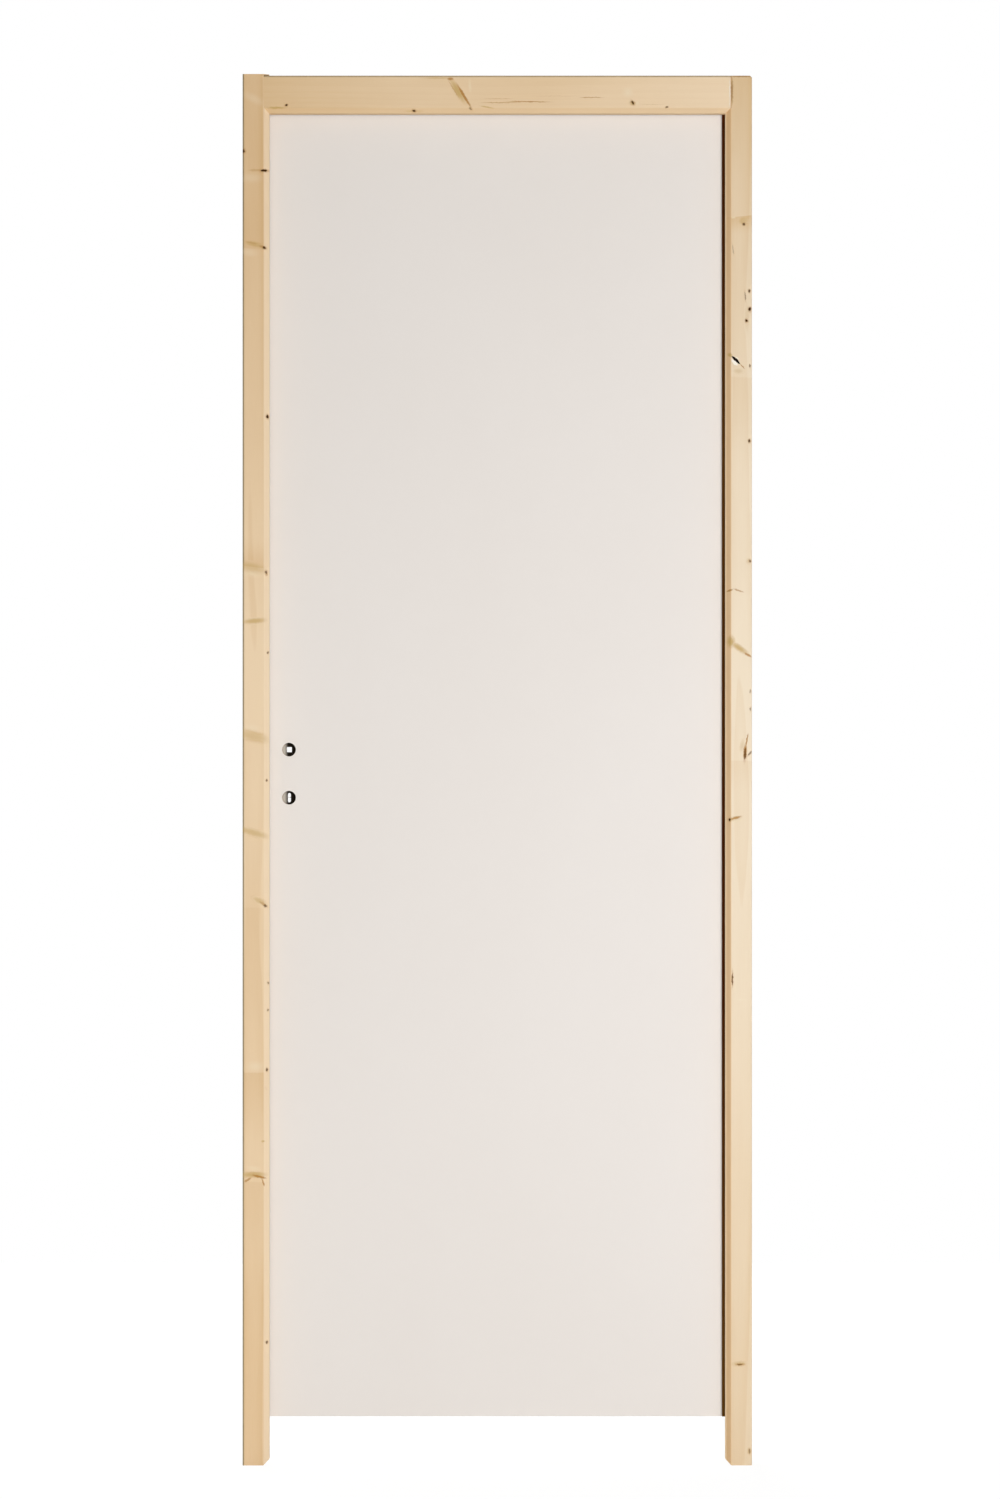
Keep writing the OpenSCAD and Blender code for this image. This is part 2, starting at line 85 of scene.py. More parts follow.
# The nodes of one material or of the world, with one method for every kind of node
class Finish:
    def __init__(self, owner):
        owner.use_nodes = True
        self.owner = owner
        self.tree = owner.node_tree
        self.tree.nodes.clear()

    def node(self, kind, settings=None, sockets=None, output=0):
        made = self.tree.nodes.new(kind)
        for name, value in (settings or {}).items():
            setattr(made, name, value)
        for key, value in (sockets or {}).items():
            if isinstance(value, Wire):
                self.tree.links.new(value.socket, made.inputs[key])
            else:
                made.inputs[key].default_value = value
        return Wire(self, made.outputs[output]) if len(made.outputs) else None

    def place(self):
        return self.node("ShaderNodeTexCoord", output="Object")

    def split(self, vector):
        parts = self.node("ShaderNodeSeparateXYZ", sockets={0: vector})
        return [Wire(self, output) for output in parts.socket.node.outputs]

    def join(self, x, y, z):
        return self.node("ShaderNodeCombineXYZ", sockets={0: x, 1: y, 2: z})

    def noise(self, vector, detail=2.0, roughness=0.5):
        return self.node("ShaderNodeTexNoise", sockets={
            "Vector": vector, "Scale": 1.0, "Detail": detail, "Roughness": roughness})

    def grain(self, point, waves, detail=2.0, roughness=0.5):
        # noise with its own number of waves in a metre along each way
        stretched = self.join(*[way * count for way, count in zip(point, waves)])
        return self.noise(stretched, detail, roughness)

    def curve(self, position, stops):
        # an amount for each position from 0 to 1, in straight steps between the stops
        made = self.node("ShaderNodeValToRGB", sockets={0: position})
        elements = made.socket.node.color_ramp.elements
        elements.remove(elements[-1])
        for index, (stop, amount) in enumerate(stops):
            element = elements.new(stop) if index else elements[0]
            element.position = stop
            element.color = (amount, amount, amount, 1)
        return made

    def blend(self, factor, first, second):
        return self.node("ShaderNodeMix", {"data_type": "RGBA"}, {0: factor, 6: first, 7: second}, output=2)

    def spread(self, value, low, high, newLow=0.0, newHigh=1.0):
        return self.node("ShaderNodeMapRange", {"interpolation_type": "SMOOTHSTEP"}, {
            0: value, 1: low, 2: high, 3: newLow, 4: newHigh})

    def bump(self, height, depth):
        return self.node("ShaderNodeBump", sockets={"Height": height, "Strength": 1.0, "Distance": depth})

    def shader(self, **sockets):
        names = {key.replace("_", " "): value for key, value in sockets.items()}
        made = self.node("ShaderNodeBsdfPrincipled", sockets=names)
        self.node("ShaderNodeOutputMaterial", sockets={"Surface": made})
        return self.owner


def newFinish(name):
    return Finish(bpy.data.materials.new(name))


def colour(red, green, blue):
    # screen values from 0 to 255, as Blender's own linear ones
    def linear(value):
        value = value / 255
        return value / 12.92 if value <= 0.04045 else ((value + 0.055) / 1.055) ** 2.4
    return (linear(red), linear(green), linear(blue), 1)


def dress(material, *names):
    for name in names:
        node = nodes[name]
        node.data.materials.clear()
        node.data.materials.append(material)


arris = {"width": 0.0004, "segments": 2, "fromAngle": 40, "weldReach": 0.00001}


def ease(*names):
    # welds a node's split faces and rounds its arrises a little, as sanding leaves them
    for name in names:
        weld = nodes[name].modifiers.new("weld", "WELD")
        weld.merge_threshold = arris["weldReach"]
        bevel = nodes[name].modifiers.new("easedArris", "BEVEL")
        bevel.width = arris["width"]
        bevel.segments = arris["segments"]
        bevel.use_clamp_overlap = False
        bevel.limit_method = "ANGLE"
        bevel.angle_limit = math.radians(arris["fromAngle"])


def addObject(name, data):
    made = bpy.data.objects.new(name, data)
    bpy.context.scene.collection.objects.link(made)
    return made


def addMesh(name, mesh, material):
    data = bpy.data.meshes.new(name)
    mesh.to_mesh(data)
    mesh.free()
    data.materials.append(material)
    return addObject(name, data)


# Spruce. Each board has its pith behind its face, so that the rings meet the face at a low angle.
# Waves are a noise's waves in a metre: across the board, in its depth and along it.
spruce = {
    "frontY": cadBox[0][1],
    "ringSpacing": 0.0036,
    "ringContrast": 0.20,
    "lateWood": (0.35, 0.93),  # where in a ring the late wood begins, and where it is darkest
    "drift": {"waves": (9, 9, 1.3), "detail": 1.5},
    "driftReach": 0.012,
    "ripple": {"waves": (60, 60, 5)},
    "rippleReach": 0.0012,
    "bend": {"knot": 0.003, "olive": 0.004},  # how far the rings give way to a mark
    "fibre": {"waves": (1300, 1300, 24), "roughness": 0.6},
    "fibreContrast": 0.16,
    "patch": {"waves": (16, 16, 3)},
    "patchContrast": 0.34,
    "toneRange": (-0.3, 1.2),
    "markDepth": 0.020,
    "warp": {"waves": 280.0, "reach": 0.0028},
    "core": {"knot": 0.8, "pitch": 0.85, "paintedHighlight": 0.6, "rust": 0.4, "olive": 0.15, "glow": 0.0, "shade": 0.3},
    "cover": {"glow": 0.75, "olive": 0.8, "rust": 0.9},
    "halo": {"core": 0.7, "edge": 2.1, "cover": 0.55},
    "bandEdge": 0.02,
    "bandLean": 0.3,
    "edgeFade": 0.004,
    # painted highlight: near-white glints on the pitch streak and along the head's end
    "paintedHighlight": colour(254, 246, 230),
    # painted shade: the colour of the dark marks in the head joint and on the hinge-side jamb's top arris
    "shade": colour(170, 134, 88),
    "knot": colour(66, 40, 12),
    "pitch": colour(16, 5, 0),
    "olive": colour(200, 164, 94),
    "rust": colour(182, 128, 58),
    "glow": colour(246, 231, 202),
    "roughness": 0.58,
    "fibreRoughness": 0.16,
    "specular": 0.08,
    "relief": {"lateWood": 0.35, "fibre": 0.65, "knot": 0.4, "depth": 0.00012},
}
headLine = 2.112  # height where the tints on the jambs' chamfers end, since the head's begin there
wholeBoard = 3.0  # an end beyond any board
# Marks lie on the front face: (across, along, half width, half length, turn in degrees, strength).
# An edge is painted light or shade that grows across the board from start to end: (start, end, tint,
# strength, stop), and stop is its end along the board. A band is a change of tone with one crisp edge:
# (along, slope, reach, strength), fading upward, or downward where its reach is negative. Tones run along a
# board, from 0, deep, to 1, pale; besides the wood's own tone they paint light, darker towards the jambs'
# tops and the head's left end.
boards = {
    "lock_side_jamb": {
        "grain": "Z", "pith": (-0.778, 0.045), "pale": colour(243, 217, 180), "deep": colour(215, 175, 121),
        "length": (0.0, 2.16), "rings": 1.0,
        # painted light on the chamfer, which faces the lamps on the right, and painted shade on the outer
        # arris
        "edges": [
            (-0.7605, -0.7580, colour(246, 223, 190), 0.75, headLine),
            (-0.7888, -0.7906, colour(152, 136, 106), 0.9, wholeBoard)],
        # wood tone and painted light: palest at mid-height, darker towards the top where less light falls
        "tonesAndLight": [
            (0.0, 0.58), (0.12, 0.60), (0.22, 0.86), (0.34, 0.82), (0.44, 0.96), (0.56, 1.0), (0.74, 0.72),
            (0.94, 0.42), (1.0, 0.48)],
        "marks": {
            "knot": [
                (-0.7905, 2.0435, 0.0026, 0.0030, 0, 0.9), (-0.7585, 2.0135, 0.0058, 0.0019, 3, 1.0),
                (-0.7585, 1.8935, 0.0030, 0.0020, -20, 0.9), (-0.7535, 1.6310, 0.0020, 0.0030, 0, 1.0),
                (-0.7555, 1.3890, 0.0020, 0.0026, 0, 0.7), (-0.7530, 1.2640, 0.0014, 0.0020, 0, 0.7),
                (-0.7545, 1.0650, 0.0014, 0.0020, 0, 0.7), (-0.7570, 0.8700, 0.0030, 0.0018, -30, 0.7),
                (-0.7525, 0.7500, 0.0014, 0.0020, 0, 0.6), (-0.7530, 0.7080, 0.0014, 0.0020, 0, 0.5),
                (-0.7545, 0.6150, 0.0018, 0.0026, 0, 0.8), (-0.7545, 0.1910, 0.0018, 0.0024, 0, 0.7),
            ],
            "rust": [
                (-0.7600, 0.8730, 0.0090, 0.0024, -30, 0.5), (-0.7550, 1.3860, 0.0026, 0.0050, 0, 0.5),
                (-0.7660, 0.4490, 0.0140, 0.0028, -14, 1.0), (-0.7610, 1.8950, 0.0090, 0.0026, -20, 0.5),
                (-0.7840, 0.4440, 0.0080, 0.0024, 30, 0.8), (-0.7600, 0.4400, 0.0018, 0.0080, 14, 0.9),
                (-0.7720, 2.0140, 0.0140, 0.0026, 2, 0.35), (-0.7780, 1.9010, 0.0130, 0.0016, -14, 0.3),
            ],
            "olive": [
                (-0.7740, 1.8990, 0.0200, 0.0060, -12, 0.5), (-0.7780, 1.3960, 0.0300, 0.0120, -14, 0.55),
                (-0.7740, 1.3130, 0.0260, 0.0066, 5, 0.8), (-0.7760, 1.1340, 0.0400, 0.0120, -14, 0.6),
                (-0.7760, 0.9840, 0.0400, 0.0085, -16, 0.7), (-0.7660, 0.8780, 0.0180, 0.0070, -26, 0.6),
                (-0.7760, 0.4520, 0.0300, 0.0066, 0, 0.9), (-0.7600, 0.5040, 0.0040, 0.0022, 0, 0.9),
            ],
            "glow": [
                (-0.7780, 2.0020, 0.0240, 0.0110, 0, 0.35), (-0.7820, 1.8860, 0.0200, 0.0090, -8, 0.35),
                (-0.7744, 2.1252, 0.0260, 0.0100, -29, 0.35), (-0.7760, 1.3870, 0.0200, 0.0090, -8, 0.4),
                # the mark at -0.7566, 2.1095 is a painted highlight along the lit mitre of the chamfers
                (-0.7760, 1.1470, 0.0200, 0.0080, -8, 0.35), (-0.7566, 2.1095, 0.0070, 0.0026, -50, 1.0),
                (-0.7720, 0.6200, 0.0200, 0.0120, 0, 0.5), (-0.7740, 0.4620, 0.0180, 0.0060, -8, 0.4),
            ],
        },
        "bands": [
            (1.3960, -0.12, 0.050, 0.35), (1.1420, -0.16, -0.120, 0.10), (0.8690, -0.02, -0.170, 0.12),
            (0.6120, 0.00, -0.120, 0.24), (1.8900, -0.10, 0.120, 0.16), (0.4420, -0.05, -0.120, 0.16),
        ],
    },
    "hinge_side_jamb": {
        # paler colours than the lock-side jamb's, partly painting the stronger light on this side
        "grain": "Z", "pith": (-0.020, 0.050), "pale": colour(245, 228, 201), "deep": colour(220, 185, 134),
        "length": (0.0, 2.16), "rings": 0.8,
        # painted shade across the chamfer, which faces away from the lamps, and a painted highlight on its
        # inner arris
        "edges": [
            (-0.0312, -0.0332, colour(232, 192, 142), 0.8, headLine),
            (-0.0388, -0.0402, colour(255, 226, 184), 1.0, headLine)],
        # wood tone and painted light: palest at mid-height, darker towards the top where less light falls
        "tonesAndLight": [
            (0.0, 0.60), (0.12, 0.66), (0.32, 0.84), (0.44, 1.0), (0.58, 0.98), (0.70, 0.96), (0.78, 0.86),
            (0.92, 0.50), (1.0, 0.22)],
        "marks": {
            "knot": [
                (-0.0125, 1.9300, 0.0022, 0.0020, 0, 0.8), (-0.0295, 1.8910, 0.0008, 0.0080, 8, 0.3),
                (-0.0042, 1.8260, 0.0018, 0.0024, 0, 0.9), (-0.0105, 1.8180, 0.0010, 0.0070, 6, 0.5),
                (-0.0035, 1.7975, 0.0022, 0.0032, 0, 1.0), (-0.0085, 1.7800, 0.0022, 0.0024, 20, 1.0),
                (-0.0032, 1.7097, 0.0012, 0.0026, 0, 0.6), (-0.0042, 1.5930, 0.0018, 0.0026, 0, 0.9),
                (-0.0030, 1.4060, 0.0018, 0.0022, 0, 0.8), (-0.0025, 1.2040, 0.0012, 0.0030, 0, 0.4),
                (-0.0025, 1.1760, 0.0012, 0.0030, 0, 0.5), (-0.0108, 1.1065, 0.0016, 0.0096, -3, 0.75),
                (-0.0031, 1.1072, 0.0013, 0.0047, -40, 0.6), (-0.0345, 1.0040, 0.0018, 0.0022, 0, 1.0),
                (-0.0305, 0.7560, 0.0010, 0.0100, 0, 0.8), (-0.0040, 0.0220, 0.0014, 0.0040, 0, 0.5),
                (-0.0190, 0.1570, 0.0050, 0.0014, 0, 0.6),
            ],
            "pitch": [(-0.0252, 1.7190, 0.0096, 0.0023, -43, 1.0)],
            # painted highlights on and beside the pitch streak
            "paintedHighlight": [
                (-0.0270, 1.7150, 0.0078, 0.0030, -43, 1.0), (-0.0232, 1.7222, 0.0036, 0.0010, -43, 0.8),
            ],
            # painted shade: in the joint beside the head's end, and along the jamb's top arris
            "shade": [
                (-0.0310, 2.1370, 0.0024, 0.0290, 0, 0.85), (-0.0165, 2.1600, 0.0300, 0.0018, 0, 0.9),
            ],
            "rust": [
                (-0.0107, 1.1095, 0.0038, 0.0150, -4, 1.0), (-0.0062, 1.2602, 0.0080, 0.0024, -30, 0.9),
                (-0.0350, 1.3604, 0.0070, 0.0018, 20, 0.9), (-0.0210, 1.3604, 0.0110, 0.0017, -20, 0.7),
                (-0.0150, 1.7090, 0.0070, 0.0012, -43, 0.8), (-0.0080, 1.1275, 0.0018, 0.0130, -11, 1.0),
                (-0.0250, 1.0070, 0.0110, 0.0024, 14, 0.9), (-0.0305, 0.7560, 0.0020, 0.0140, 0, 0.6),
                (-0.0180, 0.1570, 0.0090, 0.0026, 4, 0.5),
            ],
            "olive": [
                (-0.0330, 1.2810, 0.0090, 0.0130, 0, 1.0), (-0.0200, 1.2710, 0.0230, 0.0066, -34, 1.0),
                (-0.0125, 1.9350, 0.0100, 0.0070, 0, 0.5), (-0.0340, 1.7266, 0.0062, 0.0046, -20, 1.0),
                (-0.0215, 1.7015, 0.0130, 0.0056, -4, 0.5), (-0.0150, 1.1200, 0.0050, 0.0140, -14, 0.45),
                (-0.0190, 0.1580, 0.0160, 0.0056, 4, 0.7), (-0.0080, 1.7850, 0.0060, 0.0300, 0, 0.3),
                (-0.0270, 1.0060, 0.0160, 0.0050, 14, 0.6), (-0.0040, 0.0220, 0.0050, 0.0080, 0, 0.5),
                (-0.0050, 1.4060, 0.0060, 0.0060, 0, 0.5), (-0.0040, 1.5930, 0.0050, 0.0050, 0, 0.4),
            ],
            "glow": [
                (-0.0255, 1.7180, 0.0130, 0.0052, -43, 0.8), (-0.0290, 1.9400, 0.0040, 0.0026, 0, 0.8),
                (-0.0092, 1.1170, 0.0062, 0.0240, -8, 1.0), (-0.0120, 1.3500, 0.0160, 0.0080, 0, 0.3),
                (-0.0180, 0.7240, 0.0120, 0.0030, 0, 0.5),
            ],
        },
        "bands": [
            (1.9420, 0.10, -0.030, 0.35), (1.0960, -0.02, -0.060, 0.16), (1.6940, -0.06, -0.200, 0.16),
        ],
    },
    "head_rail": {
        "grain": "X", "pith": (2.170, 0.060), "pale": colour(245, 220, 185), "deep": colour(216, 178, 122),
        "length": (-0.76, -0.03), "rings": 0.22,
        # painted shade on the chamfer, which faces down, and on the top arris
        "edges": [
            (2.1115, 2.1095, colour(222, 190, 146), 0.5, wholeBoard),
            (2.1578, 2.1598, colour(158, 138, 104), 0.85, wholeBoard)],
        # wood tone and painted light: darker towards the left end, away from the lamps
        "tonesAndLight": [(0.0, 0.34), (0.12, 0.48), (0.30, 0.68), (0.60, 0.66), (0.80, 0.84), (1.0, 1.0)],
        "marks": {
            "knot": [
                (2.1150, -0.7240, 0.0016, 0.0021, 20, 1.0), (2.1065, -0.5255, 0.0019, 0.0027, -15, 1.0),
                (2.1095, -0.4375, 0.0014, 0.0026, -40, 0.5), (2.1190, -0.1855, 0.0036, 0.0019, 35, 0.9),
                (2.1120, -0.1325, 0.0014, 0.0021, 20, 0.7),
            ],
            "rust": [
                (2.1290, -0.4475, 0.0280, 0.0026, 31, 1.0), (2.1205, -0.3480, 0.0010, 0.0450, -1, 0.9),
                (2.1190, -0.3900, 0.0010, 0.0400, 0, 0.6), (2.1270, -0.2500, 0.0010, 0.0240, 0, 0.7),
                (2.1400, -0.4640, 0.0200, 0.0011, 33, 0.5), (2.1560, -0.4690, 0.0030, 0.0060, 0, 0.9),
                (2.1250, -0.3950, 0.0006, 0.0300, 0, 0.4), (2.1290, -0.3050, 0.0005, 0.0500, 0, 0.3),
            ],
            "olive": [
                (2.1370, -0.4575, 0.0300, 0.0075, 31, 1.0), (2.1120, -0.4120, 0.0160, 0.0018, 80, 0.8),
                (2.1180, -0.1860, 0.0050, 0.0070, 0, 0.7), (2.1570, -0.4900, 0.0022, 0.0300, 0, 0.5),
                (2.1160, -0.1550, 0.0007, 0.0280, 0, 0.5), (2.1060, -0.5260, 0.0030, 0.0200, 0, 0.5),
                (2.1108, -0.7390, 0.0026, 0.0200, 0, 1.0),
            ],
            "glow": [
                (2.1450, -0.4385, 0.0150, 0.0034, 4, 0.5), (2.1350, -0.1930, 0.0110, 0.0120, 30, 0.5),
                (2.1180, -0.1780, 0.0040, 0.0040, 0, 0.4),
            ],
            # a painted highlight along the head's end, beside the hinge-side jamb
            "paintedHighlight": [(2.1340, -0.0342, 0.0280, 0.0013, 0, 0.75)],
        },
        "bands": [],
    },
}


# Pin knots on the faces that the camera doesn't see
strewn = {
    "count": 6, "halfWidth": (0.0014, 0.0040), "stretch": 1.3, "endGap": 0.05,
    "turn": (-30, 30), "strength": (0.5, 0.9), "depth": (0.0, 0.036),
}


def strewKnots(board, seed):
    # marks with a seventh value, their seat in the depth of the board
    draw = random.Random(seed)
    low, high = board["length"]
    lowAcross, highAcross = board["width"]
    knots = []
    for _ in range(strewn["count"]):
        size = draw.uniform(*strewn["halfWidth"])
        across = draw.uniform(lowAcross, highAcross)
        along = draw.uniform(low + strewn["endGap"], high - strewn["endGap"])
        turn = draw.uniform(*strewn["turn"])
        strength = draw.uniform(*strewn["strength"])
        seat = draw.uniform(*strewn["depth"])
        knots.append((across, along, size, size * strewn["stretch"], turn, strength, seat))
    return knots


def markReach(finish, place, board, mark):
    # 0 in the middle of a mark and 1 at its edge
    across, along, halfAcross, halfAlong, turn = mark[:5]
    y = mark[6] if len(mark) > 6 else spruce["frontY"]
    depth = spruce["markDepth"]
    if board["grain"] == "Z":
        seat, size = (across, y, along), (halfAcross, depth, halfAlong)
    else:
        seat, size = (along, y, across), (halfAlong, depth, halfAcross)
    moved = finish.node("ShaderNodeMapping", {"vector_type": "TEXTURE"}, {
        "Vector": place, "Location": seat, "Rotation": (0, math.radians(-turn), 0), "Scale": size})
    return finish.node("ShaderNodeVectorMath", {"operation": "LENGTH"}, {0: moved}, output=1)


def markMask(finish, reaches, core, edge=1.0):
    total = None
    for reach, strength in reaches:
        spot = finish.spread(reach, core, edge, strength, 0.0)
        total = spot if total is None else total.math("MAXIMUM", spot)
    return total


def bandMask(finish, across, y, along, board):
    total = None
    middle = sum(board["width"]) / 2
    for height, slope, fade, strength in board["bands"]:
        line = (along - height) - (across - middle) * slope - (y - spruce["frontY"]) * spruce["bandLean"]
        rise = line / fade
        band = finish.spread(rise, 0.0, spruce["bandEdge"]) * finish.spread(rise, 0.0, 1.0, strength, 0.0)
        total = band if total is None else total + band
    return total


def markMasks(finish, place, board, marks):
    # a mask for each kind of mark, and one for the halo round the knots
    noise = finish.node("ShaderNodeTexNoise", sockets={
        "Vector": place, "Scale": spruce["warp"]["waves"], "Detail": 2.0}, output=1)
    centred = finish.node("ShaderNodeVectorMath", {"operation": "SUBTRACT"}, {0: noise, 1: (0.5, 0.5, 0.5)})
    warped = finish.node("ShaderNodeVectorMath", {"operation": "MULTIPLY_ADD"}, {
        0: centred, 1: (spruce["warp"]["reach"],) * 3, 2: place})
    reaches = {
        kind: [(markReach(finish, warped, board, mark), mark[5]) for mark in marks[kind]] for kind in marks}
    masks = {kind: markMask(finish, reaches[kind], spruce["core"][kind]) for kind in marks}
    return masks, markMask(finish, reaches["knot"], spruce["halo"]["core"], spruce["halo"]["edge"])


def lateWoodIn(finish, point, board, masks):
    # rings round the pith, which wander a little and give way to knots and streaks
    across, y, along = point
    drift = finish.grain(point, **spruce["drift"])
    ripple = finish.grain(point, **spruce["ripple"])
    pithAcross, pithBehind = board["pith"]
    reach = ((across - pithAcross) ** 2 + (y - pithBehind) ** 2) ** 0.5
    reach = reach + drift * spruce["driftReach"] + ripple * spruce["rippleReach"]
    for kind, bend in spruce["bend"].items():
        reach = reach + masks[kind] * bend
    ring = (reach / spruce["ringSpacing"]).math("FRACT")
    start, darkest = spruce["lateWood"]
    return finish.spread(ring, start, darkest) * finish.spread(ring, darkest, 1.0, 1.0, 0.0)


def clearWood(finish, point, board, lateWood, fibre):
    # the colour of the board before its marks
    across, y, along = point
    patch = finish.grain(point, **spruce["patch"])
    foot, top = board["length"]
    tone = finish.curve((along - foot) / (top - foot), board["tonesAndLight"])
    shade = tone - lateWood * (spruce["ringContrast"] * board["rings"])
    shade = shade - (fibre - 0.5) * spruce["fibreContrast"]
    shade = shade + (patch - 0.5) * spruce["patchContrast"]
    bands = bandMask(finish, across, y, along, board)
    if bands is not None:
        shade = shade - bands
    deepest, palest = spruce["toneRange"]
    wood = finish.blend(shade.math("MAXIMUM", deepest).math("MINIMUM", palest), board["deep"], board["pale"])
    # painted light and shade on chamfers and arrises
    for start, end, tint, strength, stop in board["edges"]:
        edgeLightShare = finish.spread(across, start, end, 0.0, strength)
        beforeStop = finish.spread(along, stop - spruce["edgeFade"], stop, 1.0, 0.0)
        wood = finish.blend(edgeLightShare * beforeStop, wood, tint)
    return wood


def spruceFinish(name, seed):
    board = boards[name]
    low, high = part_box(name)
    board["width"] = (low.x, high.x) if board["grain"] == "Z" else (low.z, high.z)
    finish = newFinish("spruce_" + name)
    place = finish.place()
    x, y, z = finish.split(place)
    point = (x, y, z) if board["grain"] == "Z" else (z, y, x)
    marks = dict(board["marks"])
    marks["knot"] = marks["knot"] + strewKnots(board, seed)
    masks, halo = markMasks(finish, place, board, marks)
    lateWood = lateWoodIn(finish, point, board, masks)
    fibre = finish.grain(point, **spruce["fibre"])
    wood = clearWood(finish, point, board, lateWood, fibre)
    for kind, cover in spruce["cover"].items():
        wood = finish.blend(masks[kind] * cover, wood, spruce[kind])
    wood = finish.blend(halo * spruce["halo"]["cover"], wood, spruce["rust"])
    # then painted highlights and painted shade, over all the rest
    for kind in ("knot", "paintedHighlight", "pitch", "shade"):
        if kind in masks:
            wood = finish.blend(masks[kind], wood, spruce[kind])
    relief = spruce["relief"]
    height = lateWood * relief["lateWood"] + fibre * relief["fibre"] - masks["knot"] * relief["knot"]
    return finish.shader(
        Base_Color=wood, Roughness=spruce["roughness"] + fibre * spruce["fibreRoughness"],
        Specular_IOR_Level=spruce["specular"], Normal=finish.bump(height, relief["depth"]))


for seed, boardName in enumerate(boards):
    dress(spruceFinish(boardName, seed), boardName)
print("spruce on", len(boards), "boards")


# The leaf's boards: sprayed primer, slightly stippled, and raw brown fibre where the holes cut through
leaf = {
    "paint": colour(233, 227, 220),
    "paintCloud": colour(230, 223, 215),
    "fibreColour": colour(128, 92, 60),
    "cloud": {"waves": (3, 3, 2)},
    "stipple": {"waves": (625, 625, 625), "detail": 1.5},
    "fibre": {"waves": (300, 300, 60)},
    "stippleShare": 0.7,
    "stippleDepth": 0.00003,
    "holeHeights": (1.038, 1.113),
    "holeAcross": -0.721,
    "holeReach": 0.0107,
    "holeEdge": 0.0004,
    "outwardFace": (0.3, 0.6),  # how far a face looks along Y before it counts as painted
    "roughness": 0.42,
    "stippleRoughness": 0.10,
    "rawRoughness": 0.35,
    "specular": 0.4,
}


def leafPaint():
    finish = newFinish("primed_board")
    point = finish.split(finish.place())
    x, y, z = point
    normal = finish.node("ShaderNodeTexCoord", output="Normal")
    normalY = finish.split(normal)[1].math("ABSOLUTE")
    cloud = finish.grain(point, **leaf["cloud"])
    paint = finish.blend(cloud, leaf["paintCloud"], leaf["paint"])
    inHoles = None
    for height in leaf["holeHeights"]:
        distance = ((x - leaf["holeAcross"]) ** 2 + (z - height) ** 2) ** 0.5
        near = finish.spread(distance, leaf["holeReach"], leaf["holeReach"] + leaf["holeEdge"], 1.0, 0.0)
        inHoles = near if inHoles is None else inHoles + near
    raw = inHoles * finish.spread(normalY, *leaf["outwardFace"], 1.0, 0.0)
    paint = finish.blend(raw, paint, leaf["fibreColour"])
    stipple = finish.grain(point, **leaf["stipple"])
    fibre = finish.grain(point, **leaf["fibre"])
    height = stipple * leaf["stippleShare"] + fibre * (1 - leaf["stippleShare"])
    roughness = leaf["roughness"] + stipple * leaf["stippleRoughness"] + raw * leaf["rawRoughness"]
    return finish.shader(
        Base_Color=paint, Roughness=roughness, Specular_IOR_Level=leaf["specular"],
        Normal=finish.bump(height, leaf["stippleDepth"]))


# The leaf's two stiles: primer over straight wood fibre
stile = {
    "paint": colour(233, 227, 219),
    "paintCloud": colour(224, 217, 206),
    "fibre": {"waves": (700, 700, 22), "roughness": 0.6},
    "cloud": {"waves": (30, 30, 4)},
    "fibreDepth": 0.00010,
    "roughness": 0.48,
    "fibreRoughness": 0.14,
    "specular": 0.35,
}


def stilePaint():
    finish = newFinish("primed_stile")
    point = finish.split(finish.place())
    fibre = finish.grain(point, **stile["fibre"])
    cloud = finish.grain(point, **stile["cloud"])
    return finish.shader(
        Base_Color=finish.blend(cloud, stile["paintCloud"], stile["paint"]),
        Roughness=stile["roughness"] + fibre * stile["fibreRoughness"], Specular_IOR_Level=stile["specular"],
        Normal=finish.bump(fibre, stile["fibreDepth"]))


# The leaf's rails and lock block: bare, with the marks of a saw across their length
sawn = {
    "pale": colour(226, 200, 160),
    "deep": colour(190, 150, 104),
    "fibre": {"waves": (40, 900, 900), "roughness": 0.6},
    "sawWaves": 2600,
    "sawWander": 3,
    "deepening": {"fibre": 0.8, "saw": 0.12},
    "relief": {"fibre": 0.6, "saw": 0.4, "depth": 0.00015},
    "roughness": 0.62,
    "fibreRoughness": 0.15,
    "specular": 0.3,
}


def sawnWood():
    finish = newFinish("sawn_softwood")
    point = finish.split(finish.place())
    fibre = finish.grain(point, **sawn["fibre"])
    saw = (point[0] * sawn["sawWaves"] + fibre * sawn["sawWander"]).math("SINE") * 0.5 + 0.5
    deepening = fibre * sawn["deepening"]["fibre"] + saw * sawn["deepening"]["saw"]
    relief = fibre * sawn["relief"]["fibre"] + saw * sawn["relief"]["saw"]
    return finish.shader(
        Base_Color=finish.blend(deepening, sawn["pale"], sawn["deep"]),
        Roughness=sawn["roughness"] + fibre * sawn["fibreRoughness"], Specular_IOR_Level=sawn["specular"],
        Normal=finish.bump(relief, sawn["relief"]["depth"]))


dress(leafPaint(), "leaf_face_push_side", "leaf_face_pull_side")
ease("leaf_face_push_side", "leaf_face_pull_side")
dress(stilePaint(), "leaf_lock_stile", "leaf_hinge_stile")
dress(sawnWood(), "leaf_top_rail", "leaf_bottom_rail", "leaf_lock_block")
print("leaf painted")


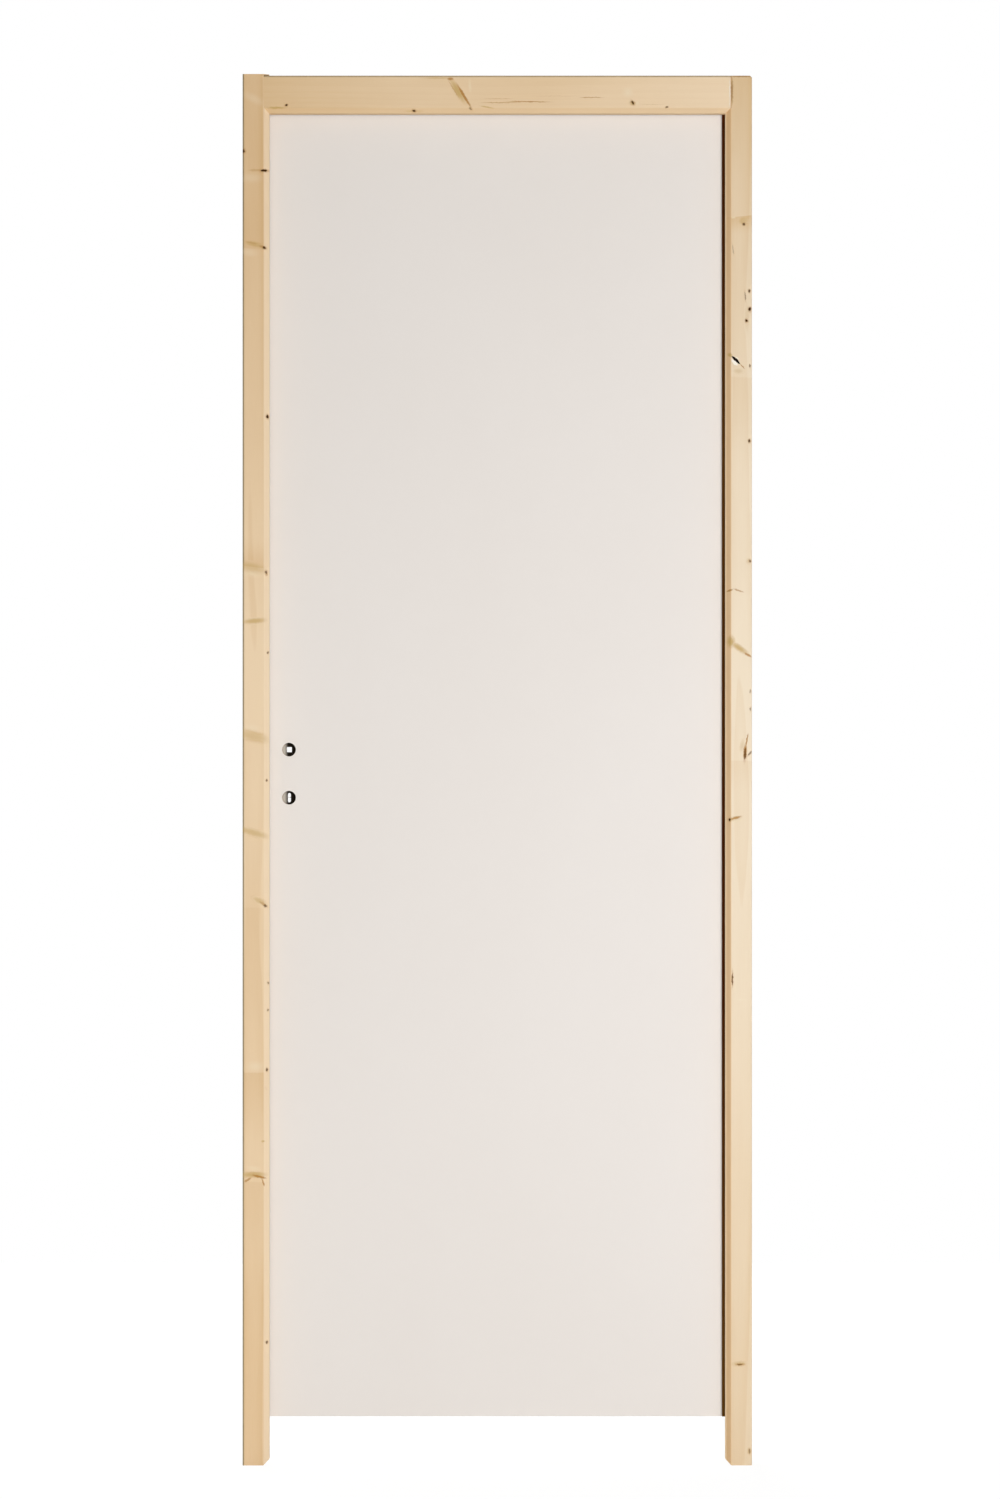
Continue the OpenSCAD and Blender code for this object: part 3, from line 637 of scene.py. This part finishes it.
# Metals, brushed along one axis. What a metal doesn't say for itself comes from the first dictionary.
anyMetal = {
    "streak": 0.5, "brushing": 2200, "alongBrushing": 6, "cloud": {"waves": (90, 90, 90), "detail": 3.0},
    "roughnessRange": 0.16, "relief": 0.00002,
}
metals = {
    "zinc_plate": {
        "pale": colour(214, 214, 210), "dark": colour(168, 170, 170), "axis": "Z", "roughness": 0.26},
    "bright_steel": {
        "pale": colour(222, 220, 214), "dark": colour(180, 178, 172), "axis": "Z", "roughness": 0.18},
    # the lock case is near black to paint the shade deep in the holes, with painted light in a paler strip on
    # their lit side
    "case_steel": {
        "pale": colour(26, 20, 14), "dark": colour(9, 6, 4), "axis": "X", "roughness": 0.30,
        "streak": 0.35, "brushing": 900, "paintedLitSide": (-0.7225, -0.7295, colour(142, 135, 124))},
    "turned_brass": {
        "pale": colour(222, 190, 118), "dark": colour(176, 140, 76), "axis": "X", "roughness": 0.2},
}


def metal(name):
    look = {**anyMetal, **metals[name]}
    finish = newFinish(name)
    point = finish.split(finish.place())
    waves = [look["alongBrushing"] if axis == look["axis"] else look["brushing"] for axis in "XYZ"]
    brushed = finish.grain(point, waves)
    cloud = finish.grain(point, **look["cloud"])
    mixed = brushed * look["streak"] + cloud * (1 - look["streak"])
    tint = finish.blend(mixed, look["dark"], look["pale"])
    # painted light: a paler strip on the left of the lock case's face, the side lit within the holes
    if "paintedLitSide" in look:
        start, end, litSideTint = look["paintedLitSide"]
        tint = finish.blend(finish.spread(point[0], start, end), tint, litSideTint)
    return finish.shader(
        Base_Color=tint, Metallic=1.0, Roughness=look["roughness"] + mixed * look["roughnessRange"],
        Normal=finish.bump(brushed, look["relief"]))


hingeNames = ["top", "middle", "bottom"]
zincPlate = metal("zinc_plate")
brightSteel = metal("bright_steel")
caseSteel = metal("case_steel")
turnedBrass = metal("turned_brass")
dress(zincPlate, *[f"hinge_{hinge}_{half}_flap" for hinge in hingeNames for half in ("frame", "leaf")])
dress(zincPlate, "strike_plate", "lock_fore_end")
dress(brightSteel, *[f"hinge_{hinge}_pin" for hinge in hingeNames], "latch_bolt", "dead_bolt")
dress(turnedBrass, *[f"hinge_{hinge}_ring" for hinge in hingeNames])
dress(caseSteel, "lock_case", "lock_follower")


# The seals: dark brown and dusty. Their near-black brown paints the shade in the gap beside the leaf, and
# painted light makes them paler by a different amount at each share of their height.
seal = {
    "dark": colour(80, 28, 0),
    "paintedLight": colour(120, 86, 34),
    "height": 2.1,
    "paintedLightByHeight": [
        (0.0, 0.75), (0.10, 0.60), (0.20, 0.35), (0.34, 0.0), (0.48, 0.0), (0.62, 0.30), (0.76, 0.50),
        (0.88, 0.10), (1.0, 0.0)],
    "dust": {"waves": (200, 200, 20), "detail": 3.0},
    "dustShare": 0.3,
    "dustDepth": 0.00004,
    "roughness": 0.75,
    "dustRoughness": 0.2,
    "specular": 0.02,
}


def sealRubber():
    finish = newFinish("brown_seal")
    point = finish.split(finish.place())
    dust = finish.grain(point, **seal["dust"])
    paintedLight = finish.curve(point[2] / seal["height"], seal["paintedLightByHeight"])
    return finish.shader(
        Base_Color=finish.blend(dust * seal["dustShare"] + paintedLight, seal["dark"], seal["paintedLight"]),
        Roughness=seal["roughness"] + dust * seal["dustRoughness"], Specular_IOR_Level=seal["specular"],
        Normal=finish.bump(dust, seal["dustDepth"]))


dress(sealRubber(), "hinge_side_seal", "lock_side_seal", "head_seal")
print("metals and seals done")


# Countersunk cross-head screws, each in the countersink that its plate has for it.
# A crown is a list of rings: (share of the head's radius, share of the dome's height).
screw = {
    "headRadius": 0.0038, "sunk": 0.0002, "dome": 0.00035, "neckRadius": 0.0021, "segments": 32,
    "crown": [(1.0, 0.0), (0.94, 0.5), (0.80, 0.85), (0.64, 1.0)],
    "crossReach": 0.0021, "crossWidth": 0.00048, "crossDepth": 0.0013, "crossTaper": 0.55,
    "firstTurn": 0.7, "turnStep": 1.9,
}
screwPlaces = {
    "perFlap": 4, "end": 0.013, "innerRow": 0.008, "outerRow": 0.009, "plateEnd": 0.009,
    "hingeGap": 0.005,  # between the leaf's edge and the jamb's rebate
}


def ringOf(mesh, radius, z):
    steps = screw["segments"]
    turns = [2 * math.pi * step / steps for step in range(steps)]
    return [mesh.verts.new((radius * math.cos(turn), radius * math.sin(turn), z)) for turn in turns]


def bridge(mesh, outer, inner):
    count = len(outer)
    for step in range(count):
        after = (step + 1) % count
        mesh.faces.new((outer[step], outer[after], inner[after], inner[step]))


def screwHead():
    # a closed shell that looks along +Z, with the face of its plate at z = 0
    mesh = bmesh.new()
    top, radius = -screw["sunk"], screw["headRadius"]
    neckDepth = top - (radius - screw["neckRadius"])
    rings = [ringOf(mesh, screw["neckRadius"], neckDepth)]
    rings += [ringOf(mesh, radius * share, top + screw["dome"] * rise) for share, rise in screw["crown"]]
    for outer, inner in zip(rings, rings[1:]):
        bridge(mesh, outer, inner)
    mesh.faces.new(rings[0])
    arm, half = screw["crossReach"], screw["crossWidth"]
    quarter = [(arm, -half), (arm, half), (half, half)]
    corners = []
    for turn in range(4):
        spin = Matrix.Rotation(turn * math.pi / 2, 2)
        corners += [spin @ Vector(point) for point in quarter]
    crown = top + screw["dome"]
    rim = [mesh.verts.new((*corner, crown)) for corner in corners]
    deep, taper = crown - screw["crossDepth"], screw["crossTaper"]
    floor = [mesh.verts.new((*(corner * taper), deep)) for corner in corners]
    rimEdges = [mesh.edges.new((rim[i], rim[i - 1])) for i in range(len(rim))]
    lastRing = rings[-1]
    ringEdges = [mesh.edges.get((lastRing[i], lastRing[i - 1])) for i in range(len(lastRing))]
    bmesh.ops.triangle_fill(mesh, edges=rimEdges + ringEdges, use_beauty=True)
    bridge(mesh, rim, floor)
    mesh.faces.new(floor)
    bmesh.ops.recalc_face_normals(mesh, faces=mesh.faces)
    return mesh


def addPiece(name, mesh, material, body):
    piece = addMesh(name, mesh, material)
    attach(piece, body)


def addScrews(name, places, side, body):
    # side is +1 or -1: the way along X that the heads look
    joined = bmesh.new()
    for index, place in enumerate(places):
        head = screwHead()
        driven = Matrix.Rotation(screw["firstTurn"] + index * screw["turnStep"], 4, "Z")
        facing = Matrix.Rotation(math.radians(90 * side), 4, "Y")
        head.transform(Matrix.Translation(place) @ facing @ driven)
        single = bpy.data.meshes.new("oneScrew")
        head.to_mesh(single)
        head.free()
        joined.from_mesh(single)
        bpy.data.meshes.remove(single)
    addPiece(name, joined, brightSteel, body)


def addHingeScrews():
    # each half of a hinge is named after the body that it is on
    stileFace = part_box("leaf_hinge_stile")[1].x
    jambFace = stileFace + screwPlaces["hingeGap"]
    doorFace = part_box("leaf_face_pull_side")[1].y
    count, end = screwPlaces["perFlap"], screwPlaces["end"]
    for name in hingeNames:
        for half, face, side in (("frame", jambFace, -1), ("leaf", stileFace, 1)):
            low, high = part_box(f"hinge_{name}_{half}_flap")
            pitch = (high.z - low.z - 2 * end) / (count - 1)
            rows = (low.y + screwPlaces["innerRow"], doorFace - screwPlaces["outerRow"])
            places = [Vector((face, rows[i % 2], low.z + end + i * pitch)) for i in range(count)]
            addScrews(f"hinge_{name}_{half}_screws", places, side, half)


def addPlateScrews():
    foreLow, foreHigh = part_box("lock_fore_end")
    middle = (foreLow.y + foreHigh.y) / 2
    plates = (
        ("lock_fore_end", foreLow.x, -1, "leaf"), ("strike_plate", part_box("strike_plate")[1].x, 1, "frame"))
    for name, face, side, body in plates:
        low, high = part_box(name)
        ends = (low.z + screwPlaces["plateEnd"], high.z - screwPlaces["plateEnd"])
        addScrews(name + "_screws", [Vector((face, middle, z)) for z in ends], side, body)


addHingeScrews()
addPlateScrews()
print("screws in")


# The edge of a lever, which crosses the key slot inside the lock
lever = {"height": 1.0385, "thick": 0.0012, "reach": 0.0034, "deep": 0.0030, "round": 0.0003}


def addLever():
    mesh = bmesh.new()
    low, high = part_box("lock_case")
    size = (lever["reach"] * 2, lever["deep"], lever["thick"])
    middle = Vector((leaf["holeAcross"], (low.y + high.y) / 2, lever["height"]))
    bmesh.ops.create_cube(mesh, size=1.0)
    bmesh.ops.scale(mesh, vec=size, verts=mesh.verts)
    bmesh.ops.translate(mesh, vec=middle, verts=mesh.verts)
    bmesh.ops.bevel(
        mesh, geom=list(mesh.edges), offset=lever["round"], segments=2, profile=0.5, affect="EDGES")
    addPiece("lock_lever", mesh, brightSteel, "leaf")


addLever()


# Camera: level, square to the door and well back
camera = {"distance": 9.0, "across": -0.3918, "height": 1.1132, "framedHeight": 2.3306, "sensor": 36.0}


def addCamera():
    frontY = cadBox[0][1]
    data = bpy.data.cameras.new("camera")
    data.sensor_width = camera["sensor"]
    data.lens = camera["sensor"] * camera["distance"] / camera["framedHeight"]
    made = addObject("camera", data)
    made.location = (camera["across"], frontY - camera["distance"], camera["height"])
    made.rotation_euler = (math.radians(90), 0, 0)
    bpy.context.scene.camera = made


addCamera()


# Studio: a white floor with white all round, a main lamp a little to the right, and lamps for the door's
# foot, back and top. The camera sees the floor and the surroundings lighter than they light the door.
studio = {
    "ambient": 0.17,
    "ambientColour": (1.0, 0.955, 0.90, 1),
    "floorSize": 7.0,
    "floorColour": colour(240, 240, 239),
    "floorGlow": 0.86,
    "floorGlowLevel": 1.09,
    "white": (1, 1, 1, 1),
}
lamps = {
    "front": {"place": (1.5, -7.5, 1.9), "size": 2.0, "power": 270, "tint": (0.995, 0.995, 0.995)},
    "low": {"place": (0.7, -3.6, 0.5), "size": 0.8, "power": 30, "tint": (0.96, 0.99, 1.09)},
    "back": {"place": (-1.6, 5.2, 2.2), "size": 3.0, "power": 165, "tint": (1.0, 0.99, 0.97)},
    "top": {"place": (-0.9, 1.3, 4.8), "size": 2.0, "power": 80, "tint": (1.0, 0.99, 0.97)},
}
floorLamp = {
    "place": (0.2, -2.6, 3.0), "aim": (-0.3, -1.25, 0.0), "size": 0.3, "power": 30, "cone": 52,
    "softEdge": 1.0, "tint": (0.97, 0.99, 1.05),
}


def seenDirectly(finish):
    rays = finish.node("ShaderNodeLightPath")
    outputs = rays.socket.node.outputs
    seen = Wire(finish, outputs["Is Camera Ray"])
    for other in ("Is Glossy Ray", "Is Transmission Ray"):
        seen = seen.math("MAXIMUM", Wire(finish, outputs[other]))
    return seen


def addFloor():
    finish = newFinish("white_floor")
    matt = finish.node("ShaderNodeBsdfDiffuse", sockets={"Color": studio["floorColour"]})
    glow = finish.node("ShaderNodeEmission", sockets={
        "Color": studio["white"], "Strength": studio["floorGlowLevel"]})
    mixed = finish.node("ShaderNodeMixShader", sockets={
        0: seenDirectly(finish) * studio["floorGlow"], 1: matt, 2: glow})
    finish.node("ShaderNodeOutputMaterial", sockets={"Surface": mixed})
    mesh = bmesh.new()
    half = studio["floorSize"] / 2
    middle = (cadBox[0][0] + cadBox[1][0]) / 2
    corners = [(middle - half, -half), (middle + half, -half), (middle + half, half), (middle - half, half)]
    mesh.faces.new([mesh.verts.new((x, y, cadBox[0][2])) for x, y in corners])
    floor = addMesh("floor", mesh, finish.owner)


def addWorld():
    world = bpy.data.worlds.new("studio")
    bpy.context.scene.world = world
    finish = Finish(world)
    plain = finish.node("ShaderNodeBackground", sockets={
        "Color": studio["ambientColour"], "Strength": studio["ambient"]})
    white = finish.node("ShaderNodeBackground", sockets={"Color": studio["white"], "Strength": 1.0})
    mixed = finish.node("ShaderNodeMixShader", sockets={0: seenDirectly(finish), 1: plain, 2: white})
    finish.node("ShaderNodeOutputWorld", sockets={"Surface": mixed})


def hangLamp(name, kind, lamp, aim):
    data = bpy.data.lights.new(name, kind)
    data.energy = lamp["power"]
    data.color = lamp["tint"]
    made = addObject(name, data)
    made.location = lamp["place"]
    made.rotation_euler = (Vector(aim) - made.location).to_track_quat("-Z", "Y").to_euler()
    return data


def addLamps():
    middle = ((cadBox[0][0] + cadBox[1][0]) / 2, 0, (cadBox[0][2] + cadBox[1][2]) / 2)
    for name, lamp in lamps.items():
        data = hangLamp(name, "AREA", lamp, middle)
        data.shape = "SQUARE"
        data.size = lamp["size"]
    # lights the floor before the door, which throws the light up on the leaf's lower part
    spot = hangLamp("floorSpot", "SPOT", floorLamp, floorLamp["aim"])
    spot.spot_size = math.radians(floorLamp["cone"])
    spot.spot_blend = floorLamp["softEdge"]
    spot.shadow_soft_size = floorLamp["size"]


addFloor()
addWorld()
addLamps()
bpy.context.scene.view_settings.view_transform = "Standard"
print("camera and light set")
